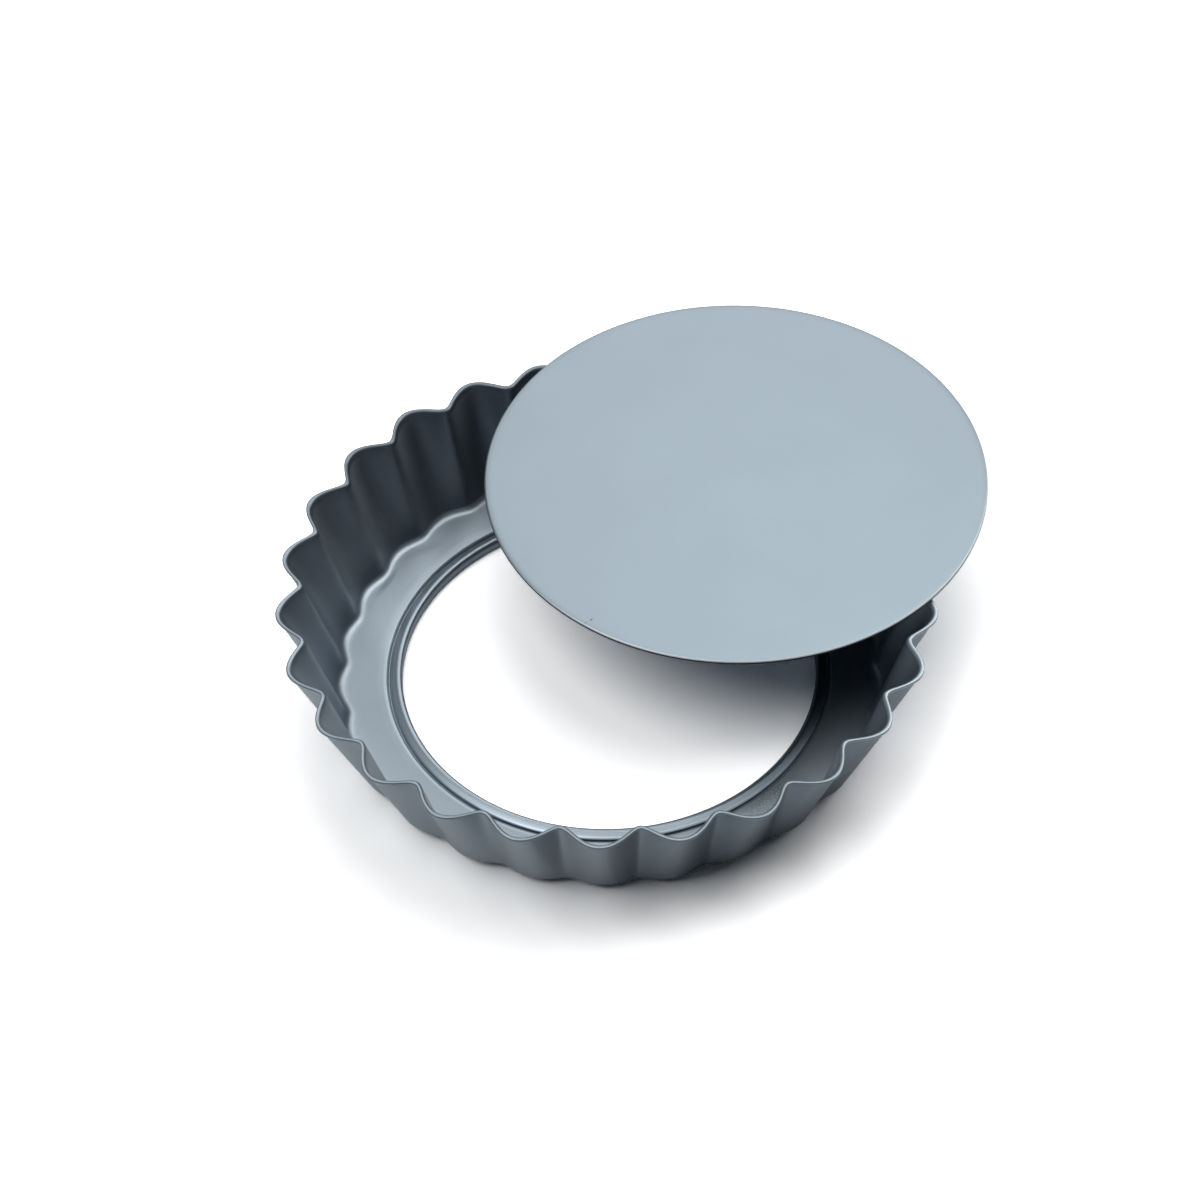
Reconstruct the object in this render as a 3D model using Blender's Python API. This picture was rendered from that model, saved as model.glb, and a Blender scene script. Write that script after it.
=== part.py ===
# Mini tart pan with a loose base, taken apart: a fluted ring stands on its turned-down edge,
# and the base lies across the ring's rim, off to one side.
# Metres, +Z up. The origin lies on the table, under the middle of both pieces together.
import math

import bmesh
import bpy
from mathutils import Matrix, Vector

# Ring, over its outer faces, and the sheet that it is pressed from
HEIGHT = 0.0200
RIM_RADIUS = 0.0500
RING_SHEET = 0.0005

# Flutes in the ring's wall: round crowns with a cusp between each two
FLUTE_COUNT = 26
FIRST_CUSP_BEARING = math.radians(108.2)
RIM_FLUTE_DEPTH = 0.0032
FOOT_FLUTE_DEPTH = 0.0009
CUSP_SOFTNESS = 0.30

# Ring's section from the lip inwards. Runs are level, rises upright, and both go to the middle of the sheet
LIP_OVERHANG = 0.00025
WALL_FLARE = 0.0071
LEDGE_WIDTH = 0.00683
LEDGE_HEIGHT = 0.0012
RISER_RUN = 0.00015
GROOVE_DEPTH = 0.0005
GROOVE_WIDTH = 0.00052
BEAD_WALL_RUN = 0.0001
BEAD_WALL_RISE = 0.0005
BEAD_SLOPE_RUN = 0.00091
BEAD_SLOPE_RISE = 0.0003
BEAD_TOP = 0.00054

# Bends in the ring's sheet, to the inside of each bend
PRESSED_BEND = 0.00001
LIP_BEND = 0.0002
FOOT_BEND = 0.0016

# Loose base
BASE_SHEET = 0.0006
BASE_CLEARANCE = 0.00065
BASE_EDGE_ROUNDING = 0.00025
BASE_OVERHANG = 0.01945
BASE_BEARING = math.radians(46.5)
RESTING_GAP = 0.0003

# How finely round shapes are divided
SEGMENTS_PER_FLUTE = 8
LEDGE_SEGMENTS_PER_FLUTE = 3
CUSP_CROWDING = 0.3
BASE_SEGMENTS = 130
BASE_EDGE_STEPS = 2

RING_COLOUR = (0.155, 0.185, 0.210)
BASE_COLOUR = (0.340, 0.420, 0.470)


def clear_scene():
    for obj in list(bpy.data.objects):
        bpy.data.objects.remove(obj, do_unlink=True)


def coated_steel(name, colour):
    """Sheet steel under a satin non-stick coating."""
    material = bpy.data.materials.new(name)
    material.use_nodes = True
    shader = material.node_tree.nodes["Principled BSDF"]
    shader.inputs["Base Color"].default_value = (*colour, 1.0)
    shader.inputs["Metallic"].default_value = 0.35
    shader.inputs["Roughness"].default_value = 0.38
    return material


def new_object(name, form, material, parent):
    mesh = bpy.data.meshes.new(name)
    form.to_mesh(mesh)
    form.free()
    mesh.materials.append(material)
    obj = bpy.data.objects.new(name, mesh)
    bpy.context.scene.collection.objects.link(obj)
    obj.parent = parent
    return obj


def rounded(corners):
    """The points of a line whose corners are bent. A corner is (point, radius, steps), and radius 0 keeps it."""
    points = []
    for index, (corner, radius, steps) in enumerate(corners):
        if radius == 0:
            points.append(corner)
            continue
        back = corners[index - 1][0] - corner
        ahead = corners[index + 1][0] - corner
        turn = math.pi - back.angle(ahead)
        reach = min(radius * math.tan(turn / 2), 0.49 * back.length, 0.49 * ahead.length)
        radius = reach / math.tan(turn / 2)
        inward = (back.normalized() + ahead.normalized()).normalized()
        centre = corner + inward * math.hypot(radius, reach)
        start = corner + back.normalized() * reach - centre
        side = math.copysign(1.0, start.cross(corner + ahead.normalized() * reach - centre))
        for step in range(steps + 1):
            swing = Matrix.Rotation(side * turn * step / steps, 2)
            points.append(centre + swing @ start)
    return points


def foot_radius(share):
    """Where the wall's line meets the ledge's: share is 0 on a flute's crown and 1 in a cusp."""
    return RIM_RADIUS - LIP_OVERHANG - RING_SHEET / 2 - WALL_FLARE - share * FOOT_FLUTE_DEPTH


def inner_section():
    """The ring's section from the cut edge round the hole, over the bead and the groove, onto the ledge."""
    half = RING_SHEET / 2
    bend = PRESSED_BEND + half
    ledge_start = foot_radius(1) - LEDGE_WIDTH
    groove_end = ledge_start - RISER_RUN
    groove_start = groove_end - GROOVE_WIDTH
    shoulder = groove_start - BEAD_WALL_RUN
    bead_end = shoulder - BEAD_SLOPE_RUN
    edge = bead_end - BEAD_TOP
    groove_height = LEDGE_HEIGHT - GROOVE_DEPTH
    shoulder_height = groove_height + BEAD_WALL_RISE
    bead_height = shoulder_height + BEAD_SLOPE_RISE
    return rounded([
        (Vector((edge, 0)), 0, 0),
        (Vector((edge, bead_height)), bend, 2),
        (Vector((bead_end, bead_height)), bend, 1),
        (Vector((shoulder, shoulder_height)), bend, 2),
        (Vector((groove_start, groove_height)), bend, 1),
        (Vector((groove_end, groove_height)), bend, 1),
        (Vector((ledge_start, LEDGE_HEIGHT)), bend, 2),
        (Vector((ledge_start + 2 * bend, LEDGE_HEIGHT)), 0, 0),
    ])


def wall_section(share):
    """The section from the ledge up the wall to the lip: share is 0 on a flute's crown and 1 in a cusp."""
    half = RING_SHEET / 2
    lip_end = RIM_RADIUS - share * RIM_FLUTE_DEPTH
    lip_height = HEIGHT - half
    line = rounded([
        (Vector((foot_radius(1) - LEDGE_WIDTH, LEDGE_HEIGHT)), 0, 0),
        (Vector((foot_radius(share), LEDGE_HEIGHT)), FOOT_BEND + half, 3),
        (Vector((lip_end - LIP_OVERHANG - half, lip_height)), LIP_BEND + half, 2),
        (Vector((lip_end, lip_height)), 0, 0),
    ])
    return line[1:]


def flute_share(phase):
    """How far a bearing lies from its flute's crown, 0, to the cusp, 1. Phase turns once for each flute."""
    widest = math.hypot(1.0, CUSP_SOFTNESS)
    here = math.hypot(math.cos(phase / 2), CUSP_SOFTNESS)
    return (widest - here) / (widest - CUSP_SOFTNESS)


def ring_of_points(form, segments, crowding, point_at):
    """A closed loop of vertices, each placed by point_at(phase), with phase 0 on the first crown."""
    loop = []
    for index in range(segments):
        phase = 2 * math.pi * FLUTE_COUNT * index / segments
        phase += crowding * math.sin(phase)
        bearing = FIRST_CUSP_BEARING + (phase + math.pi) / FLUTE_COUNT
        radius, height = point_at(phase)
        loop.append(form.verts.new((radius * math.cos(bearing), radius * math.sin(bearing), height)))
    return loop


def skin(form, loops):
    """Faces between each two neighbouring loops of equal count."""
    for lower, upper in zip(loops, loops[1:]):
        for index in range(len(lower)):
            after = (index + 1) % len(lower)
            form.faces.new((lower[index], lower[after], upper[after], upper[index]))


def loop_edges(form, loop):
    return [form.edges.get((loop[index - 1], loop[index])) for index in range(len(loop))]


def fluted_ring(parent):
    """One pressed sheet: a beaded edge round the hole, the groove it stands on, the ledge, the wall and the lip."""
    form = bmesh.new()
    ledge_loops = [
        ring_of_points(form, LEDGE_SEGMENTS_PER_FLUTE * FLUTE_COUNT, 0, lambda phase, spot=spot: spot)
        for spot in inner_section()
    ]
    wall_loops = [
        ring_of_points(
            form,
            SEGMENTS_PER_FLUTE * FLUTE_COUNT,
            CUSP_CROWDING,
            lambda phase, rank=rank: wall_section(flute_share(phase))[rank],
        )
        for rank in range(len(wall_section(0)))
    ]
    skin(form, ledge_loops)
    skin(form, wall_loops)
    meeting = loop_edges(form, ledge_loops[-1]) + loop_edges(form, wall_loops[0])
    bmesh.ops.bridge_loops(form, edges=meeting)
    bmesh.ops.recalc_face_normals(form, faces=form.faces)
    ring = new_object("fluted_ring", form, coated_steel("ring_coating", RING_COLOUR), parent)
    ring.data.shade_smooth()
    ring.data.set_sharp_from_angle(angle=math.radians(50))
    sheet = ring.modifiers.new("sheet", "SOLIDIFY")
    sheet.thickness = RING_SHEET
    sheet.offset = 0
    sheet.use_even_offset = True
    sheet.use_quality_normals = True
    return ring


def loose_base(parent):
    """A flat disc cut to drop inside the foot of the wall, with its edge rounded over."""
    radius = foot_radius(1) - FOOT_BEND - BASE_CLEARANCE
    offset = RIM_RADIUS + BASE_OVERHANG - radius
    form = bmesh.new()
    bmesh.ops.create_cone(
        form,
        cap_ends=True,
        segments=BASE_SEGMENTS,
        radius1=radius,
        radius2=radius,
        depth=BASE_SHEET,
    )
    rims = [edge for edge in form.edges if abs(edge.verts[0].co.z - edge.verts[1].co.z) < BASE_SHEET / 2]
    bmesh.ops.bevel(
        form,
        geom=rims,
        offset=min(BASE_EDGE_ROUNDING, 0.45 * BASE_SHEET),
        segments=BASE_EDGE_STEPS,
        profile=0.5,
        affect="EDGES",
    )
    base = new_object("loose_base", form, coated_steel("base_coating", BASE_COLOUR), parent)
    base.data.shade_smooth()
    base.data.set_sharp_from_angle(angle=math.radians(50))
    base.location = (
        offset * math.cos(BASE_BEARING),
        offset * math.sin(BASE_BEARING),
        HEIGHT + RESTING_GAP + BASE_SHEET / 2,
    )
    return base


def centre_over_origin(pan, pieces):
    """Moves the pan so that the box round its pieces stands on the origin."""
    bpy.context.view_layer.update()
    graph = bpy.context.evaluated_depsgraph_get()
    corners = []
    for piece in pieces:
        shape = piece.evaluated_get(graph)
        corners += [shape.matrix_world @ Vector(corner) for corner in shape.bound_box]
    for axis in (0, 1):
        places = [corner[axis] for corner in corners]
        pan.location[axis] = -(min(places) + max(places)) / 2
    pan.location.z = -min(corner.z for corner in corners)


def build():
    clear_scene()
    pan = bpy.data.objects.new("pan", None)
    bpy.context.scene.collection.objects.link(pan)
    pieces = [fluted_ring(pan), loose_base(pan)]
    centre_over_origin(pan, pieces)
    bpy.context.view_layer.update()
    for piece in pieces:
        print(piece.name, "origin in mm", [round(1000 * value, 3) for value in piece.matrix_world.translation])


build()
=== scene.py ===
import math

import bmesh
import bpy
from mathutils import Matrix, Vector


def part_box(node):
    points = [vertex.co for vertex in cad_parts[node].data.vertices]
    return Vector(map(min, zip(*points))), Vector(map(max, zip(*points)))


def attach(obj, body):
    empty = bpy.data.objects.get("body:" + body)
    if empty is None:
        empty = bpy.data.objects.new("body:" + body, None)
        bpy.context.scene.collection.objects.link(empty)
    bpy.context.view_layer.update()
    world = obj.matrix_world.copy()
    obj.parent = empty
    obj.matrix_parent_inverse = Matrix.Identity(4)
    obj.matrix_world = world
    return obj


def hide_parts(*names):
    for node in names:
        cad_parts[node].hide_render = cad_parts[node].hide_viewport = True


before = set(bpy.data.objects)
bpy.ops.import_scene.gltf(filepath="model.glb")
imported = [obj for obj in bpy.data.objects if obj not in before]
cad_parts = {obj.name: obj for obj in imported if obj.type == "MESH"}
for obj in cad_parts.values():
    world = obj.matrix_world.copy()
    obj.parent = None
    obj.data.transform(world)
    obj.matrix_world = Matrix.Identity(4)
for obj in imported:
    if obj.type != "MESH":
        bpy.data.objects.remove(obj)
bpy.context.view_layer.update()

# A mini tart pan taken apart: the fluted ring stands on the table, and its loose base lies across the rim.
# Sizes in the dictionaries are millimetres and degrees. Blender works in metres.
mm = 0.001
closeEnough = 0.001    # how near, in mm, counts as the same place
smoothAngle = 35       # edges that bend less than this are shaded smooth


def linearColor(hexColor):
    # sRGB hex to the linear values that shaders and lamps take, by the sRGB standard's curve
    channels = [int(hexColor[place:place + 2], 16) / 255 for place in (1, 3, 5)]
    linear = [value / 12.92 if value <= 0.04045 else ((value + 0.055) / 1.055) ** 2.4 for value in channels]
    return (*linear, 1.0)


def middleOf(node):
    low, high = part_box(node)
    return (low + high) / 2


def deselectAll():
    bpy.ops.object.select_all(action="DESELECT")


def pick(kind, centre, passes):
    # in edit mode, selects the points, edges or faces that pass a test. The test gets the element's corners,
    # each as (radius, bearing, height) from the centre
    bpy.ops.mesh.select_all(action="DESELECT")
    bpy.ops.mesh.select_mode(type=kind)
    mesh = bpy.context.object.data
    form = bmesh.from_edit_mesh(mesh)
    spots = {}
    for point in form.verts:
        offset = (point.co - centre) / mm
        spots[point] = (offset.xy.length, math.degrees(math.atan2(offset.y, offset.x)), offset.z)
    if kind == "VERT":
        for point in form.verts:
            point.select = passes([spots[point]])
    else:
        for element in form.edges if kind == "EDGE" else form.faces:
            if passes([spots[point] for point in element.verts]):
                element.select = True
    form.select_flush_mode()
    bmesh.update_edit_mesh(mesh)


def finishPiece(piece, name, body, node):
    # normals outwards, place into the mesh, and onto its body in the node's stead
    deselectAll()
    piece.select_set(True)
    bpy.context.view_layer.objects.active = piece
    bpy.ops.object.mode_set(mode="EDIT")
    bpy.ops.mesh.select_all(action="SELECT")
    bpy.ops.mesh.remove_doubles(threshold=closeEnough * mm)
    bpy.ops.mesh.normals_make_consistent(inside=False)
    bpy.ops.object.mode_set(mode="OBJECT")
    bpy.ops.object.transform_apply(location=True, rotation=True, scale=True)
    bpy.ops.object.shade_smooth_by_angle(angle=math.radians(smoothAngle))
    piece.name = name
    piece.data.name = name
    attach(piece, body)
    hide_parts(node)
    print("finished", name, "with", len(piece.data.polygons), "faces")


# Camera
photoView = {
    "lens": 84.24,
    "sensor": 36.0,
    "aimFromRing": (-1.01, 15.05),   # where the view's middle meets the table
    "distance": 449.06,
    "elevation": 47.63,
    "roll": -1.985,
    "nearest": 10.0,
    "farthest": 10000.0,
}


def addCamera():
    ringMiddle = middleOf("fluted_ring")
    data = bpy.data.cameras.new("photo_view")
    data.lens = photoView["lens"]
    data.sensor_width = photoView["sensor"]
    data.clip_start = photoView["nearest"] * mm
    data.clip_end = photoView["farthest"] * mm
    camera = bpy.data.objects.new("photo_view", data)
    bpy.context.scene.collection.objects.link(camera)
    tilt = Matrix.Rotation(math.radians(90 - photoView["elevation"]), 4, "X")
    turn = Matrix.Rotation(math.radians(photoView["roll"]), 4, "Z")
    right, ahead = photoView["aimFromRing"]
    aim = Vector((ringMiddle.x + right * mm, ringMiddle.y + ahead * mm, 0))
    place = aim + tilt.to_3x3() @ Vector((0, 0, photoView["distance"] * mm))
    camera.matrix_world = Matrix.Translation(place) @ tilt @ turn
    bpy.context.scene.camera = camera
    print("camera in place")


# Fluted ring
ringShape = {
    "rimRadius": 50.0,
    "height": 20.0,
    "sheet": 0.5,
    "flutes": 26,
    "firstCusp": 108.2,
    "rimFluteDepth": 3.2,
    "footFluteDepth": 0.9,
    "cuspSoftness": 0.30,
    "columnsPerFlute": 24,
    "lipOverhang": 0.25,
    "wallFlare": 7.1,
    "ledgeWidth": 6.83,
    "ledgeHeight": 1.2,
    "riserRun": 0.15,
    "grooveDepth": 0.5,
    "grooveWidth": 0.52,
    "beadWallRun": 0.1,
    "beadWallRise": 0.5,
    "beadSlopeRun": 0.91,
    "beadSlopeRise": 0.3,
    "beadTop": 0.54,
    "pressedBend": 0.01,
    "pressedSteps": 4,
    "lipBend": 0.2,
    "lipSteps": 4,
    "footBend": 1.6,
    "footSteps": 7,
    "longestBend": 0.49,     # how much of a side its bends may take
    "wallCuts": 7,
    "ledgeCuts": 3,
    "cutEdgeRounding": 0.12,
    "cutEdgeSteps": 3,
    "cutEdgeAngle": 60,      # corners sharper than this are cut edges
    "tones": ("#8B969E", "#8F9AA2"),
    "steepTone": "#7E8B98",
    # ovals placed from the middle of the ring's box, with the spacing of the specks where one has a grain
    "smudges": {
        # painted reflection: this oval and the far one paint the dark reflection of the wall in the ledge
        # near its foot, at the back
        "near painted wall reflection": {
            "tone": "#4A555D",
            "middle": (-35.0, 19.3, -8.3),
            "bearing": 62,
            "size": (8.5, 1.8, 1.0),
            "depth": 0.4,
        },
        "far painted wall reflection": {
            "tone": "#4A555D",
            "middle": (-28.6, 26.4, -8.3),
            "bearing": 35,
            "size": (7.0, 2.6, 1.0),
            "depth": 0.2,
        },
        "coarse spray": {
            "tone": "#1E262C",
            "middle": (23.9, -27.7, -8.3),
            "bearing": 41,
            "size": (15.0, 5.4, 2.0),
            "depth": 0.4,
            "grain": 0.24,
        },
    },
    # a mark is as deep as its stops say, (where, depth), along the radius, the height, the upward tilt of the
    # face and its turn towards the facing. It lies round its bearing, with the spread to each side. Lines is
    # the spacing of fine lines in it
    "marks": {
        "drawn lines": {
            "tone": "#333D44",
            "radii": ((31.9, 0.45), (34.6, 0.45), (34.61, 0.0)),
            "lines": 0.22,
        },
        # painted highlight on the ledge's edge, at the left and back
        "painted highlight on the ledge edge": {
            "tone": "#C6D2DA",
            "radii": ((34.30, 0.0), (34.40, 0.8), (34.50, 0.8), (34.62, 0.0)),
            "bearing": 150,
            "spread": 85,
        },
        # painted shade deep in the groove, at the front
        "painted shade in the groove": {
            "tone": "#12161A",
            "radii": ((34.13, 0.0), (34.20, 0.6), (34.60, 0.6), (34.80, 0.0)),
            "bearing": -78,
            "spread": 50,
        },
        # painted highlight on the bead's shoulder, at the front
        "painted highlight on the bead shoulder": {
            "tone": "#C6D2DA",
            "radii": ((33.60, 0.0), (33.90, 0.8), (34.08, 0.9), (34.13, 0.0)),
            "bearing": -78,
            "spread": 50,
        },
        # painted shadow of the loose base on the bead, at the front right
        "painted shadow on the bead": {
            "tone": "#333D44",
            "radii": ((32.50, 0.0), (32.80, 0.75), (33.85, 0.75), (34.05, 0.0)),
            "bearing": -18,
            "spread": 55,
        },
        # painted light on the ledge at the back
        "painted light on the back ledge": {
            "tone": "#C6D2DA",
            "radii": ((35.0, 0.0), (37.0, 0.2), (41.5, 0.2), (42.5, 0.0)),
            "bearing": 122,
            "spread": 50,
        },
        # painted shade on the ledge at the front left
        "painted shade on the front ledge": {
            "tone": "#333D44",
            "radii": ((34.9, 0.0), (35.3, 0.34), (36.8, 0.24), (39.0, 0.18), (42.0, 0.0)),
            "bearing": 218,
            "spread": 55,
        },
        # painted light on the wall at the back
        "painted light on the back wall": {
            "tone": "#C6D2DA",
            "heights": ((1.5, 0.0), (2.5, 0.45), (18.8, 0.45), (19.2, 0.0)),
            "bearing": 115,
            "spread": 60,
        },
        # painted shade in the crease under the lip's overhang, and over the lip's top all round
        "painted shade in the crease and on the lip": {
            "tone": "#3F484F",
            "heights": ((18.9, 0.0), (19.2, 0.3), (19.4, 0.05), (20.0, 0.25)),
        },
        # painted shade on the lip at the back, over its reflection of the lamps
        "painted shade on the back lip": {
            "tone": "#2B3238",
            "heights": ((19.3, 0.0), (19.6, 0.45), (20.0, 0.45)),
            "bearing": 115,
            "spread": 60,
        },
        # painted highlight on the lip at the right
        "painted highlight on the right lip": {
            "tone": "#C6D2DA",
            "heights": ((19.4, 0.0), (19.7, 0.35), (20.0, 0.35)),
            "bearing": -10,
            "spread": 45,
        },
        # painted shade on the inner wall faces that look to the front, where they mirror the lit table
        "painted shade on inner faces to the front": {
            "tone": "#59636D",
            "tilts": ((0.05, 0.0), (0.15, 1.0), (0.50, 1.0), (0.65, 0.0)),
            "facing": -80,
            "turns": ((0.30, 0.0), (0.90, 1.0)),
        },
        # painted light on the outer wall faces that look to the left front
        "painted light on outer faces to the left": {
            "tone": "#C6D2DA",
            "tilts": ((-0.65, 0.0), (-0.50, 1.0), (-0.15, 1.0), (-0.05, 0.0)),
            "facing": -120,
            "turns": ((0.65, 0.0), (0.87, 0.36), (1.00, 0.42)),
            "bearing": -130,
            "spread": 60,
        },
        # painted shade on the outer wall faces that look to the right front
        "painted shade on outer faces to the right": {
            "tone": "#333D44",
            "tilts": ((-0.65, 0.0), (-0.50, 1.0), (-0.15, 1.0), (-0.05, 0.0)),
            "facing": -47,
            "turns": ((0.77, 0.0), (0.95, 0.50), (1.00, 0.55)),
            "bearing": -75,
            "spread": 60,
        },
    },
}


def ringCorners():
    # corners of the middle of the sheet, (radius, height), from the hole's cut edge to the lip's
    shape = ringShape
    half = shape["sheet"] / 2
    wallTop = shape["rimRadius"] - shape["lipOverhang"] - half
    foot = wallTop - shape["wallFlare"]
    ledgeStart = foot - shape["footFluteDepth"] - shape["ledgeWidth"]
    grooveOuter = ledgeStart - shape["riserRun"]
    grooveInner = grooveOuter - shape["grooveWidth"]
    shoulder = grooveInner - shape["beadWallRun"]
    grooveHeight = shape["ledgeHeight"] - shape["grooveDepth"]
    shoulderHeight = grooveHeight + shape["beadWallRise"]
    beadOuter = shoulder - shape["beadSlopeRun"]
    beadHeight = shoulderHeight + shape["beadSlopeRise"]
    hole = beadOuter - shape["beadTop"]
    return {
        "cutEdge": (hole, 0),
        "beadInner": (hole, beadHeight),
        "beadOuter": (beadOuter, beadHeight),
        "shoulder": (shoulder, shoulderHeight),
        "grooveInner": (grooveInner, grooveHeight),
        "grooveOuter": (grooveOuter, grooveHeight),
        "ledge": (ledgeStart, shape["ledgeHeight"]),
        "foot": (foot, shape["ledgeHeight"]),
        "wallTop": (wallTop, shape["height"] - half),
        "lip": (shape["rimRadius"], shape["height"] - half),
    }


def fluteShare(column):
    # 0 on a crown and 1 in a cusp, for a column counted from the cusp
    softness = ringShape["cuspSoftness"]
    phase = math.pi + 2 * math.pi * column / ringShape["columnsPerFlute"]
    widest = math.hypot(1, softness)
    return (widest - math.hypot(math.cos(phase / 2), softness)) / (widest - softness)


def columnAt(bearing):
    pitch = 360 / ringShape["flutes"]
    columns = ringShape["columnsPerFlute"]
    return round((bearing - ringShape["firstCusp"]) / pitch * columns) % columns


def fluteDepth(name):
    # how far the cusps are drawn in at one corner of the section
    if name in ("wallTop", "lip"):
        return ringShape["rimFluteDepth"]
    if name == "foot":
        return ringShape["footFluteDepth"]
    return 0


def onLoop(name):
    # a test for spots that lie on one corner's loop once its flutes are drawn in
    loopRadius, loopHeight = ringCorners()[name]
    depth = fluteDepth(name)

    def isThere(spot):
        radius, bearing, height = spot
        expected = loopRadius - depth * fluteShare(columnAt(bearing))
        return abs(radius - expected) < closeEnough and abs(height - loopHeight) < closeEnough

    return isThere


def drawInFlutes(centre, name):
    # the columns of a round loop are drawn towards the middle, most in the cusps
    loopRadius, loopHeight = ringCorners()[name]
    columns = ringShape["columnsPerFlute"]
    for column in range(columns // 2):
        pair = {column, -column % columns}

        def inPair(spots):
            radius, bearing, height = spots[0]
            isOnLoop = abs(radius - loopRadius) < closeEnough and abs(height - loopHeight) < closeEnough
            return isOnLoop and columnAt(bearing) in pair

        pick("VERT", centre, inPair)
        scale = 1 - fluteDepth(name) * fluteShare(column) / loopRadius
        bpy.ops.transform.resize(value=(scale, scale, 1), center_override=centre)


def cutBetween(centre, inner, outer, cuts):
    # new loops between two corners' loops
    onInner = onLoop(inner)
    onOuter = onLoop(outer)
    pick(
        "EDGE",
        centre,
        lambda spots: any(onInner(spot) for spot in spots) and any(onOuter(spot) for spot in spots),
    )
    bpy.ops.mesh.subdivide(number_cuts=cuts)


def bendLoop(centre, name, bend, segments):
    # rounds one corner of the section. The bend is measured inside the sheet, and the loop runs in its middle
    corners = ringCorners()
    names = list(corners)
    place = names.index(name)
    here = Vector(corners[name])
    back = Vector(corners[names[place - 1]]) - here
    ahead = Vector(corners[names[place + 1]]) - here
    turn = math.pi - back.angle(ahead)
    reach = (bend + ringShape["sheet"] / 2) * math.tan(turn / 2)
    reach = min(reach, ringShape["longestBend"] * back.length, ringShape["longestBend"] * ahead.length)
    isOn = onLoop(name)
    pick("EDGE", centre, lambda spots: all(isOn(spot) for spot in spots))
    bpy.ops.mesh.bevel(offset=reach * mm, segments=segments, affect="EDGES")


def addFlutedRing():
    ringMiddle = middleOf("fluted_ring")
    centre = Vector((ringMiddle.x, ringMiddle.y, 0))
    corners = ringCorners()
    radius, height = corners["cutEdge"]
    deselectAll()
    bpy.ops.mesh.primitive_circle_add(
        vertices=ringShape["flutes"] * ringShape["columnsPerFlute"],
        radius=radius * mm,
        location=(centre.x, centre.y, height * mm),
        rotation=(0, 0, math.radians(ringShape["firstCusp"])),
    )
    ring = bpy.context.object
    bpy.ops.object.transform_apply(location=True, rotation=True, scale=True)
    bpy.ops.object.mode_set(mode="EDIT")
    bpy.ops.mesh.select_all(action="SELECT")
    for name in list(corners)[1:]:
        wider, higher = corners[name]
        rise = (0, 0, (higher - height) * mm)
        scale = wider / radius
        bpy.ops.mesh.extrude_region_move(TRANSFORM_OT_translate={"value": rise})
        bpy.ops.transform.resize(value=(scale, scale, 1), center_override=centre)
        radius, height = wider, higher
    for name in ("foot", "wallTop", "lip"):
        drawInFlutes(centre, name)
    print("ring drawn in to its flutes")

    cutBetween(centre, "foot", "wallTop", ringShape["wallCuts"])
    cutBetween(centre, "ledge", "foot", ringShape["ledgeCuts"])
    for name in ("beadInner", "beadOuter", "shoulder", "grooveInner", "grooveOuter", "ledge"):
        bendLoop(centre, name, ringShape["pressedBend"], ringShape["pressedSteps"])
    bendLoop(centre, "foot", ringShape["footBend"], ringShape["footSteps"])
    bendLoop(centre, "wallTop", ringShape["lipBend"], ringShape["lipSteps"])
    bpy.ops.object.mode_set(mode="OBJECT")
    print("ring bent")

    sheet = ring.modifiers.new("sheet", "SOLIDIFY")
    sheet.thickness = ringShape["sheet"] * mm
    sheet.offset = 0
    sheet.use_even_offset = True
    sheet.use_quality_normals = True
    bpy.ops.object.modifier_apply(modifier=sheet.name)
    edges = ring.modifiers.new("cut edges", "BEVEL")
    edges.width = ringShape["cutEdgeRounding"] * mm
    edges.segments = ringShape["cutEdgeSteps"]
    edges.limit_method = "ANGLE"
    edges.angle_limit = math.radians(ringShape["cutEdgeAngle"])
    bpy.ops.object.modifier_apply(modifier=edges.name)
    finishPiece(ring, "ring", "ring", "fluted_ring")
    return ring


# Loose base
baseShape = {
    "columns": 260,
    "topRounding": 0.3,
    "bottomRounding": 0.1,
    "roundingSteps": 4,
    "insets": (0.8, 6, 12, 12),
    "tones": ("#7F8B93", "#818D95"),
    "steepTone": "#7E8C9A",
    "marks": {
        # painted shade on the base's side all round
        "painted shade on the cut edge": {
            "tone": "#12161A",
            "tilts": ((-0.95, 0.0), (-0.80, 0.8), (0.15, 0.8), (0.30, 0.0)),
        },
        # painted highlight on the base's top rounding, at the front
        "painted highlight on the upper edge": {
            "tone": "#DCE4E8",
            "metallic": 0.1,
            "tilts": ((0.25, 0.0), (0.40, 0.9), (0.90, 0.9), (0.97, 0.0)),
            "bearing": -45,
            "spread": 140,
        },
    },
    # ovals placed from the middle of the base's box
    "nicks": {
        "deep nick": {
            "tone": "#1C2226",
            "middle": (-23.2, -29.8, 0.3),
            "bearing": 37,
            "size": (0.7, 0.26, 0.3),
            "depth": 0.8,
        },
        "faint nick": {
            "tone": "#1C2226",
            "middle": (-24.1, -30.4, 0.3),
            "bearing": 37,
            "size": (1.1, 0.22, 0.3),
            "depth": 0.3,
        },
    },
}


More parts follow.
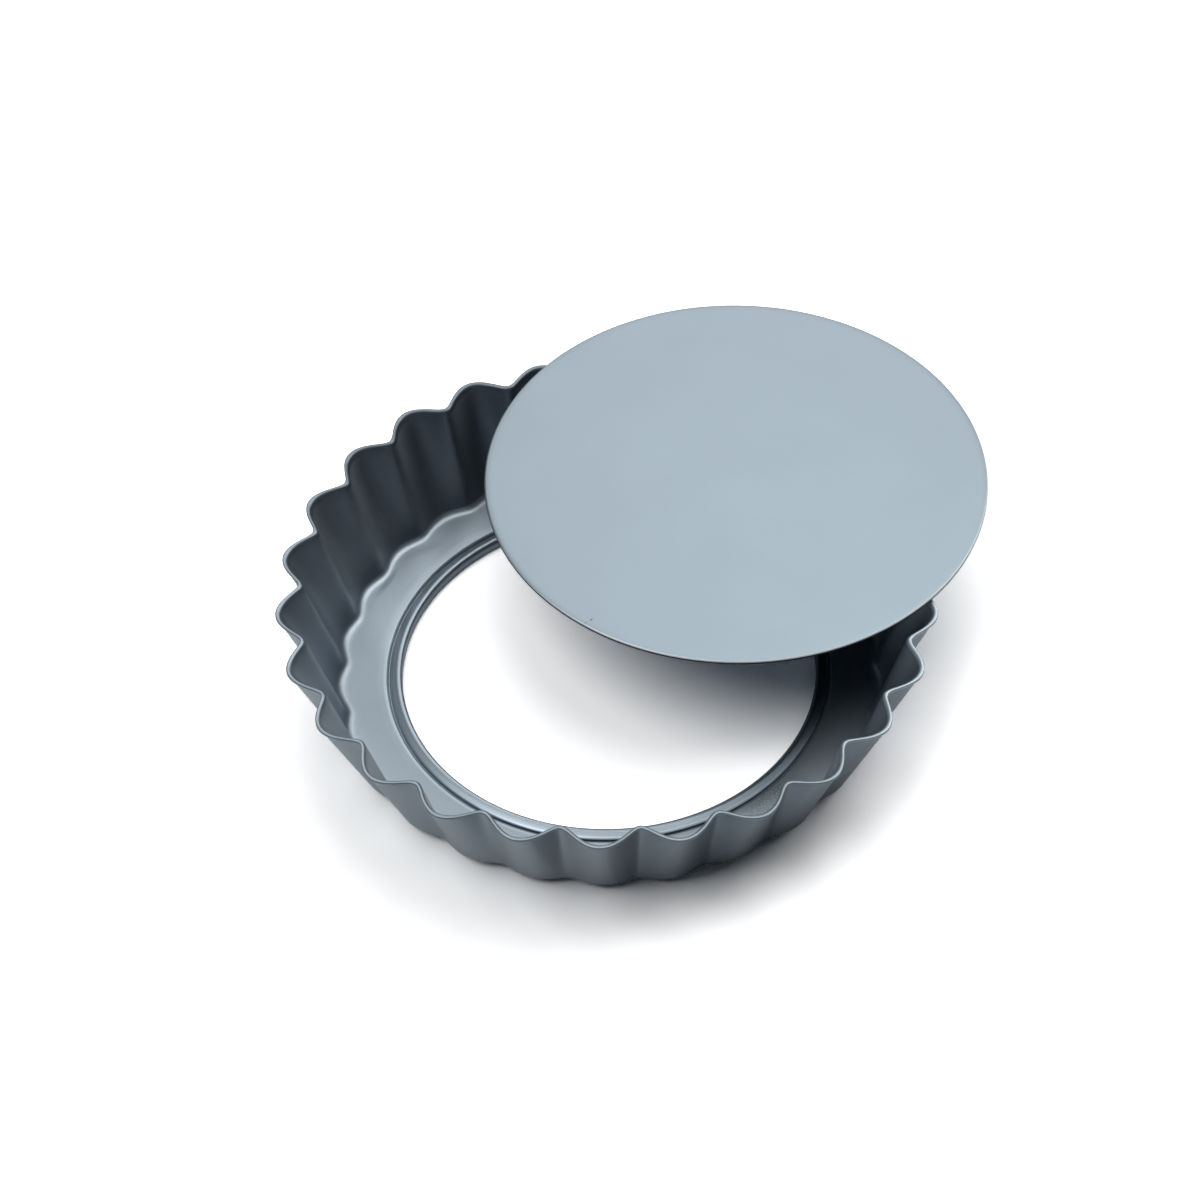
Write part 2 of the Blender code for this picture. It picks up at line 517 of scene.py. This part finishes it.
def addLooseBase():
    low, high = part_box("loose_base")
    centre = (low + high) / 2
    sheet = (high.z - low.z) / mm
    deselectAll()
    bpy.ops.mesh.primitive_cylinder_add(
        vertices=baseShape["columns"], radius=(high.x - low.x) / 2, depth=high.z - low.z, location=centre
    )
    base = bpy.context.object
    bpy.ops.object.transform_apply(location=True, rotation=True, scale=True)
    bpy.ops.object.mode_set(mode="EDIT")
    for level, rounding in ((sheet / 2, baseShape["topRounding"]), (-sheet / 2, baseShape["bottomRounding"])):

        def isLevel(spots):
            return all(abs(height - level) < closeEnough for radius, bearing, height in spots)

        pick("EDGE", centre, isLevel)
        bpy.ops.mesh.bevel(offset=rounding * mm, segments=baseShape["roundingSteps"], affect="EDGES")
        pick("FACE", centre, isLevel)
        for inset in baseShape["insets"]:
            bpy.ops.mesh.inset(thickness=inset * mm)
    bpy.ops.object.mode_set(mode="OBJECT")
    finishPiece(base, "base", "base", "loose_base")
    return base


# Coating
coating = {
    "metallic": 0.85,
    "roughness": 0.40,
    "roughnessSpread": 0.02,
    "patchSize": 14.0,            # slow change of tone, where the spray lay thicker
    "patchDetail": 3.0,
    "flakeSize": 0.16,            # metal flake in the film, drawn coarser than it is so that it shows
    "flakeDetail": 1.0,
    "toneNoise": (0.7, 1.3),      # sum of both noises at the first tone and at the second
    "filmTilts": (0.4, 0.9),      # upward tilt of a face with the steep tone and with the level one
    "peelSize": 0.45,             # orange peel of the sprayed film
    "peelDetail": 2.0,
    "peelHeight": 0.003,
    "markSpacing": 0.30,          # marks of the press tool, which run round the pan
    "markDetail": 2.0,
    "markHeight": 0.0015,
    "markTilts": (0.85, 0.97),    # upward tilt of a face without them and with them
}


def addNode(tree, kind, settings=None, inputs=None):
    # one node: its properties, then its inputs by name or number, each a plain value or another node's output
    node = tree.nodes.new(kind)
    for key, value in (settings or {}).items():
        setattr(node, key, value)
    for key, value in (inputs or {}).items():
        if isinstance(value, bpy.types.NodeSocket):
            tree.links.new(value, node.inputs[key])
        else:
            node.inputs[key].default_value = value
    return node


def perMetre(size):
    # how often a pattern of this size in mm repeats in a metre
    return 1 / (size * mm)


def coatedSteel(name, centre, tones, steepTone):
    # Non-stick film, sprayed over pressed sheet steel and baked. The eye gets an even blue-grey with a broad,
    # soft mirror of the lamps, a little uneven in tone, with fine orange peel and flake. The film lies
    # thinner on steep faces, so the walls look darker and bluer than the level faces
    material = bpy.data.materials.new(name)
    material.use_nodes = True
    tree = material.node_tree
    shader = tree.nodes["Principled BSDF"]
    shader.inputs["Metallic"].default_value = coating["metallic"]
    place = addNode(tree, "ShaderNodeTexCoord")
    centred = addNode(
        tree, "ShaderNodeMapping", inputs={"Vector": place.outputs["Object"], "Location": tuple(-centre)}
    )
    point = centred.outputs["Vector"]

    # tone: the film's patches, with the flake on top
    patch = addNode(
        tree,
        "ShaderNodeTexNoise",
        inputs={"Vector": point, "Scale": perMetre(coating["patchSize"]), "Detail": coating["patchDetail"]},
    )
    flake = addNode(
        tree,
        "ShaderNodeTexNoise",
        inputs={"Vector": point, "Scale": perMetre(coating["flakeSize"]), "Detail": coating["flakeDetail"]},
    )
    both = addNode(
        tree, "ShaderNodeMath", {"operation": "ADD"}, {0: patch.outputs["Fac"], 1: flake.outputs["Fac"]}
    )
    low, high = coating["toneNoise"]
    share = addNode(
        tree, "ShaderNodeMapRange", inputs={"Value": both.outputs["Value"], "From Min": low, "From Max": high}
    )
    tone = addNode(
        tree,
        "ShaderNodeMix",
        {"data_type": "RGBA"},
        {"Factor": share.outputs["Result"], 6: linearColor(tones[0]), 7: linearColor(tones[1])},
    )
    across = addNode(tree, "ShaderNodeVectorMath", {"operation": "MULTIPLY"}, {0: point, 1: (1, 1, 0)})
    radius = addNode(tree, "ShaderNodeVectorMath", {"operation": "LENGTH"}, {0: across.outputs["Vector"]})
    marks = addNode(
        tree,
        "ShaderNodeTexNoise",
        {"noise_dimensions": "1D"},
        {
            "W": radius.outputs["Value"],
            "Scale": perMetre(coating["markSpacing"]),
            "Detail": coating["markDetail"],
        },
    )
    facing = addNode(tree, "ShaderNodeSeparateXYZ", inputs={"Vector": place.outputs["Normal"]})
    low, high = coating["filmTilts"]
    thick = addNode(
        tree, "ShaderNodeMapRange", inputs={"Value": facing.outputs["Z"], "From Min": low, "From Max": high}
    )
    film = addNode(
        tree,
        "ShaderNodeMix",
        {"data_type": "RGBA"},
        {"Factor": thick.outputs["Result"], 6: linearColor(steepTone), 7: tone.outputs[2]},
    )
    tree.links.new(film.outputs[2], shader.inputs["Base Color"])
    gloss = addNode(
        tree,
        "ShaderNodeMapRange",
        inputs={
            "Value": share.outputs["Result"],
            "To Min": coating["roughness"] + coating["roughnessSpread"] / 2,
            "To Max": coating["roughness"] - coating["roughnessSpread"] / 2,
        },
    )
    tree.links.new(gloss.outputs["Result"], shader.inputs["Roughness"])

    # relief: tool marks round the middle on level faces, and the film's peel over all
    low, high = coating["markTilts"]
    level = addNode(
        tree, "ShaderNodeMapRange", inputs={"Value": facing.outputs["Z"], "From Min": low, "From Max": high}
    )
    marked = addNode(
        tree,
        "ShaderNodeBump",
        inputs={
            "Strength": level.outputs["Result"],
            "Distance": coating["markHeight"] * mm,
            "Height": marks.outputs["Fac"],
        },
    )
    peel = addNode(
        tree,
        "ShaderNodeTexNoise",
        inputs={"Vector": point, "Scale": perMetre(coating["peelSize"]), "Detail": coating["peelDetail"]},
    )
    peeled = addNode(
        tree,
        "ShaderNodeBump",
        inputs={
            "Strength": 1.0,
            "Distance": coating["peelHeight"] * mm,
            "Height": peel.outputs["Fac"],
            "Normal": marked.outputs["Normal"],
        },
    )
    tree.links.new(peeled.outputs["Normal"], shader.inputs["Normal"])
    return material


# Smudges, nicks and marks in the coating
wear = {
    "ovalFade": 0.4,                           # how far into an oval it is full, of 1 at the middle
    "grainDetail": 1.0,
    "grainDepths": ((0.4, 0.0), (0.6, 1.0)),   # noise, and the depth there
    "lineDetail": 1.0,
    "lineDepths": ((0.5, 0.0), (0.65, 1.0)),
}


def tintFilm(material, depth, tone):
    # lays a tone over the film, as deep as the depth output says
    tree = material.node_tree
    shader = tree.nodes["Principled BSDF"]
    film = shader.inputs["Base Color"].links[0].from_socket
    tinted = addNode(
        tree, "ShaderNodeMix", {"data_type": "RGBA"}, {"Factor": depth, 6: film, 7: linearColor(tone)}
    )
    tree.links.new(tinted.outputs[2], shader.inputs["Base Color"])


def depthAlong(tree, value, stops):
    # a depth that follows the (value, depth) stops
    lowest = stops[0][0]
    highest = stops[-1][0]
    share = addNode(
        tree, "ShaderNodeMapRange", inputs={"Value": value, "From Min": lowest, "From Max": highest}
    )
    ramp = addNode(tree, "ShaderNodeValToRGB", inputs={"Fac": share.outputs["Result"]})
    elements = ramp.color_ramp.elements
    while len(elements) < len(stops):
        elements.new(1.0)
    for element, (at, depth) in zip(elements, stops):
        element.position = (at - lowest) / (highest - lowest)
        element.color = (depth, depth, depth, 1.0)
    return ramp.outputs["Color"]


def addDarkOval(material, centre, nick):
    # an oval patch of a darker tone, speckled where it has a grain. It draws the nicks and the coarse spray,
    # and also painted dark reflections of the wall in the ledge
    tree = material.node_tree
    place = addNode(tree, "ShaderNodeTexCoord")
    middle = centre + Vector(nick["middle"]) * mm
    onNick = addNode(
        tree,
        "ShaderNodeMapping",
        {"vector_type": "TEXTURE"},
        {
            "Vector": place.outputs["Object"],
            "Location": tuple(middle),
            "Rotation": (0, 0, math.radians(nick["bearing"])),
            "Scale": tuple(length * mm / 2 for length in nick["size"]),
        },
    )
    oval = addNode(
        tree, "ShaderNodeTexGradient", {"gradient_type": "SPHERICAL"}, {"Vector": onNick.outputs["Vector"]}
    )
    fade = addNode(
        tree,
        "ShaderNodeMapRange",
        inputs={"Value": oval.outputs["Fac"], "From Max": wear["ovalFade"], "To Max": nick["depth"]},
    )
    depth = fade.outputs["Result"]
    if "grain" in nick:
        specks = addNode(
            tree,
            "ShaderNodeTexNoise",
            inputs={
                "Vector": place.outputs["Object"],
                "Scale": perMetre(nick["grain"]),
                "Detail": wear["grainDetail"],
            },
        )
        grain = depthAlong(tree, specks.outputs["Fac"], wear["grainDepths"])
        speckled = addNode(tree, "ShaderNodeMath", {"operation": "MULTIPLY"}, {0: depth, 1: grain})
        depth = speckled.outputs["Value"]
    tintFilm(material, depth, nick["tone"])


def markFilm(material, centre, mark):
    # darker or paler film where all that the mark names holds. The fine lines over the bead are where the
    # press stretched the sheet. The other marks are painted light and shade: painted shade on the lip and in
    # the crease under it, painted highlights where the base seats, painted shadow on the bead, and painted
    # light and shade that change with the side of the ring and the way that a face looks, as photographed
    tree = material.node_tree
    place = addNode(tree, "ShaderNodeTexCoord")
    point = addNode(tree, "ShaderNodeSeparateXYZ", inputs={"Vector": place.outputs["Object"]})
    normal = addNode(tree, "ShaderNodeSeparateXYZ", inputs={"Vector": place.outputs["Normal"]})
    across = addNode(
        tree,
        "ShaderNodeMapping",
        inputs={"Vector": place.outputs["Object"], "Location": (-centre.x, -centre.y, 0), "Scale": (1, 1, 0)},
    )
    outward = addNode(tree, "ShaderNodeVectorMath", {"operation": "NORMALIZE"}, {0: across.outputs["Vector"]})
    radius = addNode(tree, "ShaderNodeVectorMath", {"operation": "LENGTH"}, {0: across.outputs["Vector"]})
    depths = []
    if "radii" in mark:
        stops = [(reach * mm, depth) for reach, depth in mark["radii"]]
        depths.append(depthAlong(tree, radius.outputs["Value"], stops))
    if "heights" in mark:
        stops = [(height * mm, depth) for height, depth in mark["heights"]]
        depths.append(depthAlong(tree, point.outputs["Z"], stops))
    if "tilts" in mark:
        depths.append(depthAlong(tree, normal.outputs["Z"], mark["tilts"]))
    ways = []
    if "facing" in mark:
        ways.append((place.outputs["Normal"], mark["facing"], mark["turns"]))
    if "bearing" in mark:
        # full within half of the spread
        spread = math.radians(mark["spread"])
        stops = ((math.cos(spread), 0.0), (math.cos(spread / 2), 1.0))
        ways.append((outward.outputs["Vector"], mark["bearing"], stops))
    for direction, bearing, stops in ways:
        # 1 where the direction runs along the bearing, and -1 where it runs the other way
        around = math.radians(bearing)
        along = addNode(
            tree,
            "ShaderNodeVectorMath",
            {"operation": "DOT_PRODUCT"},
            {0: direction, 1: (math.cos(around), math.sin(around), 0)},
        )
        depths.append(depthAlong(tree, along.outputs["Value"], stops))
    if "lines" in mark:
        lines = addNode(
            tree,
            "ShaderNodeTexNoise",
            {"noise_dimensions": "1D"},
            {
                "W": radius.outputs["Value"],
                "Scale": perMetre(mark["lines"]),
                "Detail": wear["lineDetail"],
            },
        )
        depths.append(depthAlong(tree, lines.outputs["Fac"], wear["lineDepths"]))
    depth = depths[0]
    for other in depths[1:]:
        both = addNode(tree, "ShaderNodeMath", {"operation": "MULTIPLY"}, {0: depth, 1: other})
        depth = both.outputs["Value"]
    tintFilm(material, depth, mark["tone"])
    if "metallic" in mark:
        metal = addNode(
            tree,
            "ShaderNodeMapRange",
            inputs={"Value": depth, "To Min": coating["metallic"], "To Max": mark["metallic"]},
        )
        tree.links.new(metal.outputs["Result"], tree.nodes["Principled BSDF"].inputs["Metallic"])


def dress(piece, material):
    piece.data.materials.append(material)
    print("dressed", piece.name, "in", material.name)


# Table and light
studio = {
    "floorSize": 700.0,      # past it the world is as white
    "floorColor": "#F1F1F1",
    "floorExposure": 2.0,    # how far past its own tone the camera sees the paper
    "worldColor": "#FFFFFF",
    "worldStrength": 0.01,
    "worldInMirror": 0.18,
    "lampDistance": 900.0,
    "softboxes": (           # power in watts
        {"name": "key_softbox", "power": 3.96, "size": 840.0, "elevation": 68.0, "bearing": 57.0},
        {"name": "left_softbox", "power": 3.81, "size": 655.0, "elevation": 60.0, "bearing": 200.0},
        {"name": "right_softbox", "power": 2.16, "size": 655.0, "elevation": 40.0, "bearing": 30.0},
        {"name": "back_softbox", "power": 1.58, "size": 585.0, "elevation": 36.0, "bearing": 90.0},
    ),
}


def addFloor():
    # matt white paper. The camera sees it exposed past white, as such a sweep is, and its shadows stay
    deselectAll()
    bpy.ops.mesh.primitive_plane_add(size=studio["floorSize"] * mm, location=(0, 0, 0))
    floor = bpy.context.object
    floor.name = "floor"
    material = bpy.data.materials.new("matt_white_paper")
    material.use_nodes = True
    tree = material.node_tree
    tree.nodes.remove(tree.nodes["Principled BSDF"])
    tone = linearColor(studio["floorColor"])
    exposed = [channel * studio["floorExposure"] for channel in tone[:3]]
    paper = addNode(tree, "ShaderNodeBsdfDiffuse", inputs={"Color": tone})
    overWhite = addNode(tree, "ShaderNodeBsdfDiffuse", inputs={"Color": (*exposed, 1.0)})
    rays = addNode(tree, "ShaderNodeLightPath")
    mix = addNode(
        tree,
        "ShaderNodeMixShader",
        inputs={0: rays.outputs["Is Camera Ray"], 1: paper.outputs["BSDF"], 2: overWhite.outputs["BSDF"]},
    )
    tree.links.new(mix.outputs["Shader"], tree.nodes["Material Output"].inputs["Surface"])
    floor.data.materials.append(material)
    print("floor laid")


def addWorld():
    # white where the camera looks at it, a little dimmer in a mirror, and much dimmer as a light
    world = bpy.data.worlds.new("studio")
    bpy.context.scene.world = world
    world.use_nodes = True
    tree = world.node_tree
    background = tree.nodes["Background"]
    background.inputs["Color"].default_value = linearColor(studio["worldColor"])
    rays = addNode(tree, "ShaderNodeLightPath")
    mirrored = addNode(
        tree,
        "ShaderNodeMath",
        {"operation": "MULTIPLY_ADD"},
        {
            0: rays.outputs["Is Glossy Ray"],
            1: studio["worldInMirror"] - studio["worldStrength"],
            2: studio["worldStrength"],
        },
    )
    seen = addNode(
        tree,
        "ShaderNodeMath",
        {"operation": "MAXIMUM"},
        {0: rays.outputs["Is Camera Ray"], 1: mirrored.outputs["Value"]},
    )
    tree.links.new(seen.outputs["Value"], background.inputs["Strength"])
    print("world set")


def addSoftbox(name, power, size, elevation, bearing):
    data = bpy.data.lights.new(name, "AREA")
    data.shape = "DISK"
    data.size = size * mm
    data.energy = power
    lamp = bpy.data.objects.new(name, data)
    bpy.context.scene.collection.objects.link(lamp)
    up = math.radians(elevation)
    around = math.radians(bearing)
    outward = Vector((math.cos(up) * math.cos(around), math.cos(up) * math.sin(around), math.sin(up)))
    lamp.location = outward * studio["lampDistance"] * mm
    lamp.rotation_euler = outward.to_track_quat("Z", "Y").to_euler()
    print("lamp", name)


addCamera()
ring = addFlutedRing()
base = addLooseBase()

ringMiddle = middleOf("fluted_ring")
ringFilm = coatedSteel(
    "sprayed_film_on_pressed_ring", ringMiddle, ringShape["tones"], ringShape["steepTone"]
)
for mark in ringShape["marks"].values():
    markFilm(ringFilm, ringMiddle, mark)
# painted reflections of the wall in the ledge, and the film's coarse spray
for smudge in ringShape["smudges"].values():
    addDarkOval(ringFilm, ringMiddle, smudge)
dress(ring, ringFilm)

baseMiddle = middleOf("loose_base")
baseFilm = coatedSteel(
    "sprayed_film_on_stamped_base", baseMiddle, baseShape["tones"], baseShape["steepTone"]
)
for mark in baseShape["marks"].values():
    markFilm(baseFilm, baseMiddle, mark)
for nick in baseShape["nicks"].values():
    addDarkOval(baseFilm, baseMiddle, nick)
dress(base, baseFilm)

addFloor()
addWorld()
for softbox in studio["softboxes"]:
    addSoftbox(**softbox)
bpy.context.scene.view_settings.view_transform = "Standard"
